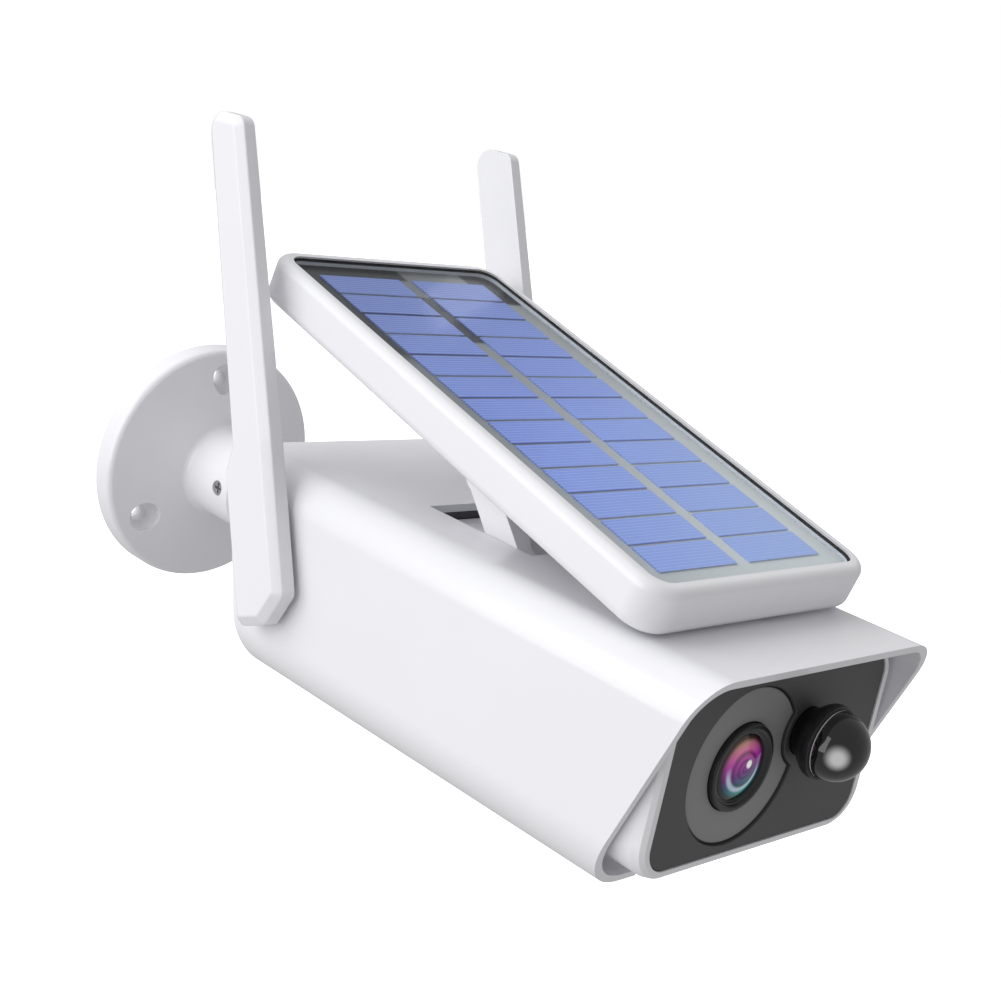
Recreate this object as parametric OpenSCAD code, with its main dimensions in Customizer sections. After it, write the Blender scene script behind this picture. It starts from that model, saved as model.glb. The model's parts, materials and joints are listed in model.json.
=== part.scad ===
// Solar-powered security camera on a ball-joint wall base, with two fold-down antennas and a
// tilting solar panel. The origin is the centre of the wall face. The wall is the plane y = 0,
// the camera looks along -Y, X is across the body and +Z is up. All sizes are millimetres.

/* [Wall base] */
// Diameter of the wall disc
disc_d = 65.8; // [60:1:75]
// Thickness of the disc at its rim
disc_rim_t = 6.8; // [5:0.2:9]
// Diameter of the socket boss
boss_d = 24; // [23:0.5:28]
// Pitch circle of the wall screws
wall_pcd = 50; // [46:1:52]
// Turn of the screw holes about the disc's axis, in degrees
wall_clock = 3; // [0:1:30]

/* [Ball joint] */
// Distance of the ball's centre from the wall
ball_out = 26; // [25:0.5:30]
// Radius of the ball
ball_r = 7.6; // [7.2:0.1:7.8]
// Radius of the stem
stem_r = 3; // [2.5:0.1:3]

/* [Body] */
// Width of the hood
hood_w = 80; // [78:1:84]
// Height of the hood
hood_h = 51.7; // [51:0.1:54]
// Length of the hood from its upper rear edge to the foot of its front edge
hood_len = 128.2; // [126:0.5:132]
// Slant of the hood's front edge from vertical, in degrees
front_slant = 20.3; // [10:0.5:21]
// Slant of the hood's rear edge from vertical, in degrees
rear_slant = 16.5; // [14:0.5:17]
// Wall thickness of the hood
hood_wall = 1.8; // [1.4:0.1:1.8]
// Height of the ball joint's axis above the hood's bottom
axis_h = 26.6; // [26:0.1:27]
// Gap between the wall and the hood's rear edge
hood_gap = 65.3; // [65:0.1:70]

/* [Front face] */
// Width of the dark face plate
plate_w = 68.2; // [66:0.2:69]
// Height of the dark face plate
plate_h = 38.8; // [37:0.2:39]
// Outer radius of the grey ring round the lens
lens_ring_r = 16.7; // [16:0.1:17]
// Radius of the motion sensor's dome
dome_r = 7.4; // [7:0.1:7.5]

/* [Antennas] */
// Length of an antenna above its pivot
antenna_up = 102.3; // [80:0.1:104]
// Thickness of an antenna
antenna_t = 5.2; // [4.8:0.1:6]
// Backward lean of the antennas, in degrees
antenna_lean = 22.3; // [0:0.5:25]

/* [Solar panel] */
// Width of the panel
panel_w = 72.6; // [71:0.2:74]
// Length of the panel
panel_len = 137.7; // [136:0.5:139]
// Thickness of the panel
panel_t = 10.9; // [10.5:0.1:11]
// Forward slope of the panel, in degrees
panel_slope = 15.1; // [14.5:0.1:15.2]
// Rows of cells
cell_rows = 13; // [8:1:16]

/* [Hidden] */
$fn = 48;
cut = 0.5;                  // overshoot of a cutting solid
fit = 0.05;                 // radial running clearance
gap = 0.3;                  // clearance between bodies that only pass each other

// Ball joint
cup_r = ball_r + 2.1;       // outside of the cup that holds the ball
socket_r = cup_r + 0.08;
boss_end = ball_out + 5.5;  // the boss's mouth, measured from the wall
boss_root = 11.3;           // height of the cone where the boss leaves it
cup_mouth = 7;              // the cup's open end, in front of the ball's centre
stem_end = 66;              // where the stem stops inside the rear cover
ring_back = 49.5;
ring_front = 56.6;
neck_back = 57;             // the rear cover's neck faces the lock ring here
neck_r = 9.5;
body_from = 60;             // the body lies between this distance from the wall
body_reach = 160;           // and this much further
cover_in = 1.5;             // the rear cover lies this far inside the hood's rear edge
cover_t = 3.9;
seal_t = 0.6;
hollow_in = 9;              // hollow back of the wall disc
hollow_out = 29.5;
hollow_depth = 3.2;

// Hood and housing
hood_bottom = -axis_h;
hood_top = hood_bottom + hood_h;
hood_back = -hood_gap;
hood_top_r = 9;
hood_bottom_r = 14;
lip_x = 21;                 // half the width of the slot along the hood's bottom
housing_w = 74.4;
housing_wall = 2.2;
housing_bottom = hood_bottom + 4.6;
housing_top = hood_top - 2.8;
housing_front = -191.5;      // just behind the hood's lower front edge
housing_top_r = 8;
housing_bottom_r = 12;
inner_bottom = housing_bottom + housing_wall;

// Front face
face_y = -204.8;            // front of the face plate
bezel_bottom = housing_bottom + 1.6;
plate_z = 1.4;              // height of the plate's centre
plate_r = 6;
plate_t = 2;
lens_x = -10.4;
lens_z = 0.7;
lens_hole_r = 9.6;
glass_r = 7.1;
ring_x = -9.8;              // centre of the ring, a little beside the lens
ring_z = 0.8;
ring_t = 0.7;
ring_recess = 1.3;          // depth of the ring's seat in the plate
dome_x = 9.4;
dome_z = 5.6;
collar_r = 5.2;             // collar at the plate, from where it flares
collar_lip_r = 8.15;
collar_h = 6.6;
collar_seat = 5.35;         // the dome's skirt stands here
notch_x = 10.4;
notch_r = 8.05;             // where the ring round the lens makes room for the dome
dome_out = 7.1;             // distance of the dome's centre in front of the plate
dome_skirt = 1.65;
led_xs = [-28, 28];
belly_x = 6;                // the microphone and the status light, to either side
belly_y = -188;

// Pocket in the hood, and the stay that carries the panel
pocket_x = 19.7;
pocket_back = hood_back - 49;
pocket_front = hood_back - 82;
tray_wall = 1.2;
tray_floor = hood_top - 11;
stay_base_t = 1.6;          // floor of the stay's block, under its prongs
stay_pin_y = hood_back - 76.5;
stay_pin_z = hood_top - 4.7;
stay_len = 22;
stay_pitch = 48;            // rise of the stay above horizontal, in degrees
knuckle_r = 4.2;
hinge_pin_r = 1.5;
prong_in = 15;              // inner and outer faces of the stay's two prongs
prong_out = 19.4;
panel_pin_y = stay_pin_y + stay_len * cos(stay_pitch);
panel_pin_z = stay_pin_z + stay_len * sin(stay_pitch);
lug_in = 8;                 // inner and outer faces of the panel's two lugs
lug_out = 14;

// Panel
panel_y = -129.1;           // centre of the glass
panel_z = 53.2;
panel_lip = 0.5;            // the frame stands this far above the glass
panel_floor = panel_lip - panel_t;
glass_w = 65.6;
glass_len = 130.8;
cells_w = 53.3;
cells_len = 119.7;
cell_gap_x = 4.3;
cell_gap_share = 0.1;       // gap between rows, as a share of the row pitch
back_t = 1.8;

// Antennas
antenna_y = -87.1;
antenna_z = 6.9;
antenna_x = 41.4;           // inner face
antenna_pin_r = 2;
bevel = 1.6;                // bevel round the outer face, cut in steps
bevel_steps = 4;
bevel_in = 2.4;             // width of the bevel across the outer face
hub_r = 4.2;

// Ports in the belly
port_y = -102;
port_x = 16.5;
port_half = 10;
port_floor = housing_bottom + 3.6;
flap_t = 1.4;
flap_pin_y = port_y + port_half - 1.8;
flap_pin_z = housing_bottom + 1.3;
power_x = 10;
reset_x = 4;

// ---- shared helpers ----

// A drawing in (x, z), extruded forwards from y
module slab_y(y, length) translate([0, y, 0]) rotate([90, 0, 0]) linear_extrude(length) children();

// A drawing in (y, z), extruded along +X from x
module slab_x(x, width) translate([x, 0, 0]) rotate([90, 0, 90]) linear_extrude(width) children();

// A round bar along -Y that starts at p
module rod_y(p, r, length, end_r = -1)
    translate(p) rotate([90, 0, 0]) cylinder(r1 = r, r2 = end_r < 0 ? r : end_r, h = length);

// A round bar along +X that starts at p
module rod_x(p, r, length) translate(p) rotate([0, 90, 0]) cylinder(r = r, h = length);

// A rectangle with rounded corners
module rounded_rect(w, h, r) {
    square([w - 2 * r, h], center = true);
    square([w, h - 2 * r], center = true);
    for (x = [-1, 1], y = [-1, 1]) translate([x * (w / 2 - r), y * (h / 2 - r)]) circle(r);
}

// The body's cross-section, with its own radii at the top and the bottom corners
module body_section(w, low, high, top_r, bottom_r) {
    translate([-w / 2 + top_r, high - top_r]) square([w - 2 * top_r, top_r]);
    translate([-w / 2, low + bottom_r]) square([w, high - low - top_r - bottom_r]);
    translate([-w / 2 + bottom_r, low]) square([w - 2 * bottom_r, bottom_r]);
    for (side = [-1, 1]) {
        translate([side * (w / 2 - top_r), high - top_r]) circle(top_r);
        translate([side * (w / 2 - bottom_r), low + bottom_r]) circle(bottom_r);
    }
}

module housing_section(inset = 0)
    body_section(housing_w - 2 * inset, housing_bottom + inset, housing_top - inset,
                 housing_top_r - inset, housing_bottom_r - inset);

module bezel_section(inset = 0)
    body_section(housing_w - 2 * inset, bezel_bottom + inset, housing_top - inset,
                 housing_top_r - inset, 9 - inset);

// Places children in the panel's frame: X across, Y up the slope, Z out of the glass
module on_panel() translate([0, panel_y, panel_z]) rotate([panel_slope, 0, 0]) children();

// Places children at the wall screws
module at_wall_screws()
    for (i = [0:2]) rotate([0, -90 - wall_clock - 120 * i, 0]) translate([wall_pcd / 2, 0, 0]) children();

// A cross recess for a screw whose head faces +Z
module cross_recess(size, depth)
    for (turn = [0, 90]) rotate(turn) cube([size, size * 0.25, 2 * depth], center = true);

// A pan-head screw along -Z, its head on top
module pan_screw(head_r, head_h, shank_r, length) {
    difference() {
        cylinder(r = head_r, h = head_h);
        translate([0, 0, head_h]) cross_recess(head_r * 1.3, head_h * 0.6);
    }
    translate([0, 0, -length]) cylinder(r = shank_r, h = length + 0.1);
}

// ---- wall base and ball joint ----

// Half-section of the base, as radius and height above the wall: a disc whose face rises as a
// shallow cone to the boss, with rounded rim, root and mouth
module base_section() {
    rim = disc_d / 2;
    boss = boss_d / 2;
    fillet = 2.2;
    edge = 2;
    polygon(concat(
        [[0, 0], [rim, 0]],
        [for (a = [0:10:80]) [rim - edge + edge * cos(a), disc_rim_t - edge + edge * sin(a)]],
        [for (a = [250:-10:180]) [boss + fillet + fillet * cos(a), boss_root + fillet + fillet * sin(a)]],
        [[boss, boss_end - 1], [boss - 1, boss_end], [0, boss_end]]));
}

// What is turned out of the base: its hollow back, the ball's socket and the socket's flared mouth
module base_hollows() {
    translate([hollow_in, -cut]) square([hollow_out - hollow_in, hollow_depth + cut]);
    translate([0, ball_out]) circle(socket_r, $fn = 64);
    polygon([[0, ball_out], [socket_r - 2.1, boss_end - 1.2], [socket_r - 0.6, boss_end + cut],
             [0, boss_end + cut]]);
}

module wall_base() color("gainsboro") difference() {
    union() {
        rotate([90, 0, 0]) rotate_extrude($fn = 96) difference() {
            base_section();
            base_hollows();
        }
        at_wall_screws() rod_y([0, 0, 0], 5.5, disc_rim_t - 1);
    }
    at_wall_screws() {
        rod_y([0, cut, 0], 2.3, boss_root + cut);
        rod_y([0, -disc_rim_t + 1.6, 0], 2.3, 1.9, 4.2);
        rod_y([0, -disc_rim_t - 0.3, 0], 4.2, 5);
    }
    rod_x([-boss_d / 2 - cut, -ball_out, 0], 2 + fit, 4);
}

module clamp_screw() color("silver") translate([-boss_d / 2 + 0.35, -ball_out, 0]) rotate([0, 90, 0])
    difference() {
        cylinder(r = 2, h = 1.75);
        cross_recess(2.8, 0.9);
    }

module ball_cup() color("dimgray") translate([0, -ball_out, 0]) difference() {
    rotate([90, 0, 0]) rotate_extrude($fn = 64) intersection() {
        difference() {
            circle(cup_r);
            circle(ball_r + fit);
        }
        translate([0, -20]) square([20, 20 + cup_mouth]);
    }
    translate([-stem_r - 0.15, -20, -9]) cube([2 * (stem_r + 0.15), 15.4, 18]);
}

module swivel_ball() color("silver") union() {
    translate([0, -ball_out, 0]) sphere(ball_r, $fn = 64);
    rod_y([0, -ball_out, 0], stem_r, stem_end - ball_out);
}

module lock_ring() color("whitesmoke") difference() {
    union() {
        rod_y([0, -ring_back, 0], 8.4, ring_front - ring_back);
        for (a = [0:20:340]) rotate([0, a, 0]) rod_y([8.4, -ring_back - 1, 0], 0.9, ring_front - ring_back - 2);
    }
    rod_y([0, -ring_back + cut, 0], stem_r + fit, 2 * cut + ring_front - ring_back);
}

// ---- body ----

// Where the hood's slanted edges lie at height z
function front_y(z) = hood_back - hood_len - (z - hood_bottom) * tan(front_slant);
function rear_y(z) = hood_back - (hood_top - z) * tan(rear_slant);

// Places children on the rear cover's outer face: X across, Y out of the face, Z up it
module on_rear() translate([0, rear_y(0) - cover_in, 0]) rotate([-rear_slant, 0, 0]) children();

// The layer between two depths under the rear cover's outer face
module rear_layer(from, to) on_rear() translate([-hood_w, -to, -60]) cube([2 * hood_w, to - from, 120]);

// A drawing of the cross-section carried the whole length of the body
module full_length() slab_y(-body_from, body_reach) children();

// Screw places of the rear cover, across and up its face
cover_screws = [for (x = [-1, 1], z = [-1, 1]) [x * 28, z * 14]];
screw_sink = 2;             // depth of the screws' seats
speaker_x = 20;
speaker_z = -1;

module rear_cover() color("white") difference() {
    union() {
        intersection() {
            full_length() housing_section();
            rear_layer(0, cover_t);
        }
        // lip that enters the housing
        intersection() {
            full_length() difference() {
                housing_section(housing_wall + 0.3);
                housing_section(housing_wall + 2.1);
            }
            rear_layer(cover_t - 0.5, cover_t + 3);
        }
        // neck that takes the stem
        intersection() {
            rod_y([0, -neck_back, 0], neck_r, 30);
            rear_layer(-30, cover_t - 0.5);
        }
    }
    rod_y([0, -neck_back + cut, 0], stem_r + fit, stem_end - neck_back + cut + 0.3);
    on_rear() {
        for (p = cover_screws) {
            rod_y([p[0], cut, p[1]], 2.6, screw_sink + cut);
            rod_y([p[0], 0, p[1]], 1.3, 10);
        }
        // speaker grille
        for (ring = [0:2], i = [0:max(0, 6 * ring - 1)])
            rod_y([speaker_x + 2.4 * ring * cos(i * 60 / max(1, ring)), cut,
                   speaker_z + 2.4 * ring * sin(i * 60 / max(1, ring))], 0.65, 10);
    }
}

module rear_cover_screws() color("silver") on_rear()
    for (p = cover_screws)
        translate([p[0], -screw_sink, p[1]]) rotate([-90, 0, 0]) pan_screw(2.3, 1.4, 1.15, 4);

module rear_seal() color("black") intersection() {
    full_length() difference() {
        housing_section(0.3);
        housing_section(housing_wall - 0.1);
    }
    rear_layer(cover_t, cover_t + seal_t);
}

module housing() color("white") difference() {
    union() {
        intersection() {
            slab_y(-body_from, -body_from - housing_front) housing_section();
            rear_layer(cover_t + seal_t, 200);
        }
        // pads that the hood is screwed to
        for (p = hood_screw_places) translate([p[0], p[1], hood_bottom + hood_wall + 0.1])
            cylinder(r = 2.4, h = housing_bottom - hood_bottom - hood_wall + 0.4);
    }
    difference() {
        full_length() housing_section(housing_wall);
        // block round the ports
        translate([-port_x - 3, port_y - port_half - 3, housing_bottom])
            cube([2 * port_x + 6, 2 * port_half + 6, port_floor - housing_bottom + 1]);
    }
    // room for the pocket tray
    translate([-pocket_x - tray_wall - 0.1, pocket_front - tray_wall - 0.1, housing_top - 10])
        cube([2 * (pocket_x + tray_wall + 0.1), pocket_back - pocket_front + 2 * tray_wall + 0.2, 20]);
    // port recess
    translate([-port_x, port_y - port_half, housing_bottom - cut])
        cube([2 * port_x, 2 * port_half, port_floor - housing_bottom + 1 + 2 * cut]);
    rod_x([-port_x - 2, flap_pin_y, flap_pin_z], 0.6, 2 * port_x + 4);
    for (side = [-1, 1]) rod_x([side * 36 - 3, antenna_y, antenna_z], hub_r - 1, 6);
    for (p = hood_screw_places) translate([p[0], p[1], hood_bottom]) cylinder(r = 1.25, h = 6);
    translate([-belly_x, belly_y, housing_bottom - cut]) cylinder(r = 0.7, h = 5);
    translate([belly_x, belly_y, housing_bottom - cut]) cylinder(r = 1.25, h = 5);
}

// Places of the hood's screws, as (x, y)
hood_screw_places = [for (x = [-1, 1], y = [-90, -182]) [x * 23.5, y]];

module hood() color("white") difference() {
    intersection() {
        full_length() difference() {
            body_section(hood_w, hood_bottom, hood_top, hood_top_r, hood_bottom_r);
            body_section(hood_w - 2 * hood_wall, hood_bottom + hood_wall, hood_top - hood_wall,
                         hood_top_r - hood_wall, hood_bottom_r - hood_wall);
            translate([-lip_x, hood_bottom - cut]) square([2 * lip_x, hood_wall + 2 * cut]);
        }
        slab_x(-hood_w, 2 * hood_w) polygon([
            [rear_y(hood_bottom), hood_bottom], [rear_y(hood_top), hood_top],
            [front_y(hood_top), hood_top], [front_y(hood_bottom), hood_bottom]]);
    }
    translate([-pocket_x, pocket_front, hood_top - 5])
        cube([2 * pocket_x, pocket_back - pocket_front, 10]);
    for (side = [-1, 1]) rod_x([side * 38 - 4, antenna_y, antenna_z], hub_r + 0.2, 8);
    for (p = hood_screw_places) translate([p[0], p[1], hood_bottom - cut]) cylinder(r = 1.3, h = 5);
}

module hood_screws() color("silver")
    for (p = hood_screw_places)
        translate([p[0], p[1], hood_bottom]) rotate([180, 0, 0]) pan_screw(2.1, 1, 1.2, 5.6);

// ---- front face ----

module front_seal() color("black") slab_y(housing_front, seal_t) difference() {
    bezel_section(0.3);
    bezel_section(housing_wall - 0.1);
}

module front_bezel() color("white") difference() {
    union() {
        slab_y(housing_front - seal_t, housing_front - seal_t - face_y - 2.2) bezel_section();
        hull() {
            slab_y(face_y + 2.3, 0.1) bezel_section();
            slab_y(face_y + 0.6, 0.1) bezel_section(0.5);
            slab_y(face_y - 0.1, 0.1) bezel_section(1.5);
        }
    }
    slab_y(housing_front + cut, housing_front + cut - face_y - 4.4) bezel_section(housing_wall);
    slab_y(housing_front + cut, 30) bezel_section(housing_wall + 2.6);
    slab_y(face_y + plate_t + 0.2, 10) translate([0, plate_z]) rounded_rect(plate_w + 0.3, plate_h + 0.3, plate_r);
}

// The ring's outline, which gives way to the dome's round foot
module ring_outline(grow = 0) difference() {
    translate([ring_x, ring_z]) circle(lens_ring_r + grow);
    translate([notch_x, dome_z - 0.3]) circle(notch_r - grow);
}

module face_plate() color([0.28, 0.28, 0.29]) difference() {
    slab_y(face_y + plate_t, plate_t) translate([0, plate_z]) rounded_rect(plate_w, plate_h, plate_r);
    slab_y(face_y + ring_recess, 5) ring_outline(0.45);
    rod_y([lens_x, face_y + plate_t + cut, lens_z], lens_hole_r, 5);
    rod_y([dome_x, face_y + plate_t + cut, dome_z], collar_r + 0.1, 5);
}

module lens_ring() color([0.46, 0.46, 0.46]) difference() {
    slab_y(face_y + ring_recess, ring_t) ring_outline();
    rod_y([lens_x, face_y + ring_recess + cut, lens_z], lens_hole_r, 5);
}

module lens_bezel() color([0.05, 0.05, 0.05]) translate([lens_x, face_y, lens_z]) rotate([90, 0, 0])
    rotate_extrude($fn = 64)
        polygon([[glass_r + 0.1, -6], [9.4, -6], [9.4, 0.2], [9, 0.6], [8.3, 0.6], [glass_r + 0.1, -0.1]]);

module lens_barrel() color([0.1, 0.1, 0.1]) difference() {
    rod_y([lens_x, face_y + 17, lens_z], 8.6, 11);
    rod_y([lens_x, face_y + 18, lens_z], 5.5, 13);
}

// Front element: a short plug with a domed face
module lens_glass() color([0.35, 0.1, 0.4, 0.8]) translate([lens_x, face_y, lens_z]) rotate([90, 0, 0])
    rotate_extrude($fn = 64)
        polygon(concat([[0, -5.6], [glass_r, -5.6]],
                       [for (r = [glass_r:-0.71:0]) [max(r, 0), -0.3 + 1.2 * (1 - pow(r / glass_r, 2))]],
                       [[0, 0.9]]));

module sensor_board() color("darkgreen")
    translate([lens_x - 14, face_y + 18.6, lens_z - 14]) cube([28, 1.4, 28]);

module image_sensor() color("slategray")
    translate([lens_x - 4.5, face_y + 17.2, lens_z - 4.5]) cube([9, 1.3, 9]);

// A flared cup with a rounded lip, which holds the dome
module pir_collar() color([0.07, 0.07, 0.07]) translate([dome_x, face_y, dome_z]) rotate([90, 0, 0])
    rotate_extrude($fn = 64)
        polygon([[collar_r - 0.6, -5], [collar_r, -5], [collar_r, 0.6], [collar_r + 1.1, 2.6],
                 [collar_lip_r - 0.2, 4.4], [collar_lip_r, 5], [collar_lip_r, collar_h - 0.3],
                 [collar_lip_r - 0.3, collar_h], [dome_r + fit, collar_h],
                 [dome_r + fit, collar_seat], [collar_r - 0.6, collar_seat]]);

// A thin dome on a short skirt
module pir_dome() color([0.03, 0.03, 0.03]) translate([dome_x, face_y - dome_out, dome_z])
    rotate([90, 0, 0]) rotate_extrude($fn = 64) difference() {
        union() {
            intersection() {
                circle(dome_r);
                square(20);
            }
            translate([0, -dome_skirt]) square([dome_r, dome_skirt]);
        }
        intersection() {
            circle(dome_r - 1);
            square(20);
        }
        translate([0, -dome_skirt - cut]) square([dome_r - 1, dome_skirt + cut]);
    }

module pir_sensor() color("silver") rod_y([dome_x, face_y + 4, dome_z], 4.4, 6);

module led_board() color("darkgreen") difference() {
    slab_y(face_y + 8.4, 1.4) translate([0, plate_z]) rounded_rect(60, 31, 3);
    rod_y([lens_x, face_y + 10, lens_z], 10, 5);
    rod_y([dome_x, face_y + 10, dome_z], 8.2, 5);
}

module ir_leds() color("gainsboro")
    for (x = led_xs, z = [-6, 8]) rod_y([x, face_y + 6.8, z], 2.5, 4);

// The microphone and the status light look out through the belly
module microphone() color("goldenrod") translate([-belly_x, belly_y, inner_bottom]) cylinder(r = 2, h = 2.4);

module status_light() color("powderblue")
    translate([belly_x, belly_y, housing_bottom + 0.2]) cylinder(r = 1.2, h = 4);

// ---- inside the housing ----

module speaker() color("dimgray") on_rear() {
    rod_y([speaker_x, -cover_t - 0.1, speaker_z], 7.5, 1.2);
    rod_y([speaker_x, -cover_t - 1.3, speaker_z], 5.5, 2.6);
}

module main_board() color("darkgreen") translate([-31, -176, 7]) cube([62, 64, 1.6]);

module radio_module() color("silver") translate([-26, -172, 8.7]) cube([18, 24, 2.6]);

// Three round cells side by side
cell_r = 9.1;
cell_z = -6.3;
cell_back = -85;
module battery_cells() color("royalblue")
    for (i = [-1:1]) {
        rod_y([i * 19.4, cell_back, cell_z], cell_r, 65);
        rod_y([i * 19.4, cell_back - 65, cell_z], 3, 1);
    }

module battery_cradle() color("black") difference() {
    translate([-29.5, cell_back - 60, cell_z - cell_r - 0.8]) cube([59, 55, 6]);
    for (i = [-1:1]) rod_y([i * 19.4, cell_back + cut, cell_z], cell_r + 0.15, 70);
}

// ---- ports, buttons and their flap ----

module port_plate() color("gray") difference() {
    translate([-port_x + 0.1, port_y - port_half + 0.1, port_floor])
        cube([2 * port_x - 0.2, 2 * port_half - 0.2, 0.9]);
    for (x = [power_x, reset_x])
        translate([x, port_y, port_floor - cut]) cylinder(r = x == power_x ? 2.3 : 1.3, h = 3);
    translate([-13, port_y - 1.7, port_floor - cut]) cube([9.4, 3.4, 3]);
    translate([-13, port_y + 4.3, port_floor - cut]) cube([12, 1.6, 3]);
}

module usb_socket() color("silver") translate([-12.8, port_y - 1.5, port_floor - 0.2]) difference() {
    cube([9, 3, 1.6]);
    translate([0.3, 0.3, -cut]) cube([8.4, 2.4, 1.5]);
}

module card_slot() color("dimgray") translate([-12.8, port_y + 4.5, port_floor]) difference() {
    cube([11.6, 1.2, 1.4]);
    translate([0.3, 0.25, -cut]) cube([11, 0.7, 1.4]);
}

module power_button() color("orangered") translate([power_x, port_y, port_floor]) {
    translate([0, 0, -0.9]) cylinder(r = 2.2, h = 1.9);
    translate([0, 0, 0.95]) cylinder(r = 2.9, h = 0.3);
}

module reset_button() color("gray") translate([reset_x, port_y, port_floor - 0.5]) cylinder(r = 1.2, h = 1.8);

module port_flap() color("whitesmoke") difference() {
    union() {
        translate([-port_x + gap, port_y - port_half + gap, housing_bottom])
            cube([2 * (port_x - gap), 2 * port_half - 2.6 - gap, flap_t]);
        rod_x([-port_x + gap, flap_pin_y, flap_pin_z], 1.15, 2 * (port_x - gap));
    }
    rod_x([-port_x, flap_pin_y, flap_pin_z], 0.6 + fit, 2 * port_x);
}

module flap_pin() color("silver") rod_x([-port_x - 1.6, flap_pin_y, flap_pin_z], 0.6, 2 * port_x + 3.2);

// ---- antennas ----

// The hubs stand on the housing and carry the antennas on their pins
module antenna_hubs() color("white")
    for (side = [0, 1]) mirror([side, 0, 0]) {
        rod_x([34.5, antenna_y, antenna_z], hub_r - 1.1, 3);
        rod_x([housing_w / 2 + 0.05, antenna_y, antenna_z], hub_r, 3);
        rod_x([housing_w / 2 + 3, antenna_y, antenna_z], antenna_pin_r, 4.6);
    }

module antenna_washers() color("black")
    for (side = [0, 1]) mirror([side, 0, 0]) difference() {
        rod_x([hood_w / 2 + 0.25, antenna_y, antenna_z], 6.5, 0.75);
        rod_x([hood_w / 2, antenna_y, antenna_z], antenna_pin_r + fit, 4);
    }

// Outline of an antenna in (rearward, upward) about its pivot: a wide foot with one clipped
// corner, a step, and a long blade whose top is level when the blade leans back
module antenna_outline(inset) {
    foot = 8.9 - inset;
    blade = 5.4 - inset;
    top = antenna_up + 0.4 - inset;
    front = foot - 1.6;
    polygon([
        [-foot, -11.3], [-1.5 - inset * 0.3, -17.5 + inset], [foot - 1.5, -17.5 + inset], [foot, -16 + inset],
        [foot, 18.6], [blade, 24], [blade, top], [-front, top - (front + blade) * tan(antenna_lean)], [-foot, 24]]);
}

// An antenna on the +X side: a flat blade with a bevel round its outer face
module antenna_blade()
    translate([antenna_x, antenna_y, antenna_z]) rotate([-antenna_lean, 0, 0]) difference() {
        union() {
            slab_x(0, antenna_t - bevel) antenna_outline(0);
            for (i = [1:bevel_steps])
                slab_x(antenna_t - bevel + (i - 1) * bevel / bevel_steps, bevel / bevel_steps)
                    antenna_outline(i * bevel_in / bevel_steps);
        }
        rod_x([-cut, 0, 0], antenna_pin_r + fit, 4.2 + cut);
    }

module antenna_left() color("white") mirror([1, 0, 0]) antenna_blade();

module antenna_right() color("white") antenna_blade();

// ---- pocket, stay and solar panel ----

// A block over the pocket, wider by margin on each side, from one height to another
module pocket_block(margin, low, high)
    translate([-pocket_x - margin, pocket_front - margin, low])
        cube([2 * (pocket_x + margin), pocket_back - pocket_front + 2 * margin, high - low]);

module pocket_tray() color([0.2, 0.2, 0.22]) difference() {
    union() {
        pocket_block(tray_wall, tray_floor - tray_wall, housing_top + 0.2);
        pocket_block(tray_wall + 2.5, housing_top + 0.05, hood_top - hood_wall - 0.05);
    }
    pocket_block(0, tray_floor, hood_top + cut);
}

// The block holds the stay's pin. It stands between the prongs, and its top slopes down
// behind them to leave room for the stay when it folds back
module stay_block() color("white") difference() {
    union() {
        translate([-pocket_x + gap, pocket_front + gap, tray_floor])
            cube([2 * (pocket_x - gap), stay_pin_y + 14.2 - pocket_front - gap, stay_base_t]);
        slab_x(-prong_in + gap, 2 * (prong_in - gap)) translate([stay_pin_y, 0])
            polygon([[-3.5, tray_floor], [-3.5, stay_pin_z], [0, hood_top - 1.2], [4, hood_top - 1.2],
                     [14.2, tray_floor + 4], [14.2, tray_floor]]);
    }
    rod_x([-pocket_x, stay_pin_y, stay_pin_z], hinge_pin_r + fit, 2 * pocket_x);
}

// Places a (y, z) drawing with its first axis along the stay, from its lower pin
module along_stay() translate([stay_pin_y, stay_pin_z]) rotate(stay_pitch) children();

module stay_arm() color("white") difference() {
    union() {
        // two prongs with a knuckle at each end
        for (x = [-prong_out, prong_in]) {
            slab_x(x, prong_out - prong_in) along_stay() {
                circle(knuckle_r);
                translate([0, -knuckle_r + 0.4]) square([stay_len, 2 * knuckle_r - 0.8]);
                translate([stay_len, 0]) circle(knuckle_r);
            }
        }
        // web between the prongs, and the middle knuckle that it carries
        slab_x(-prong_in - 1, 2 * prong_in + 2) along_stay()
            translate([9, -3.4]) square([stay_len - 9 - knuckle_r - 0.6, 3]);
        slab_x(-lug_in + gap, 2 * (lug_in - gap)) along_stay() {
            translate([stay_len, 0]) circle(knuckle_r);
            translate([stay_len - 8, -3.2]) square([8, 4]);
        }
    }
    rod_x([-30, stay_pin_y, stay_pin_z], hinge_pin_r + 0.02, 60);
    rod_x([-30, panel_pin_y, panel_pin_z], hinge_pin_r + 0.02, 60);
}

module stay_pin() color("silver") rod_x([-prong_out + 0.4, stay_pin_y, stay_pin_z], hinge_pin_r, 2 * prong_out - 0.8);

module panel_pin() color("silver") rod_x([-prong_out + 0.4, panel_pin_y, panel_pin_z], hinge_pin_r, 2 * prong_out - 0.8);

// Corner post of the panel's frame, rounded at its top and bottom edges
module frame_post(r) rotate_extrude($fn = 32) {
    top_r = 2.2;
    low_r = 2.6;
    polygon(concat(
        [[0, panel_floor], [r - low_r, panel_floor]],
        [for (a = [-75:15:0]) [r - low_r + low_r * cos(a), panel_floor + low_r + low_r * sin(a)]],
        [for (a = [0:15:90]) [r - top_r + top_r * cos(a), panel_lip - top_r + top_r * sin(a)]],
        [[0, panel_lip]]));
}

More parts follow.
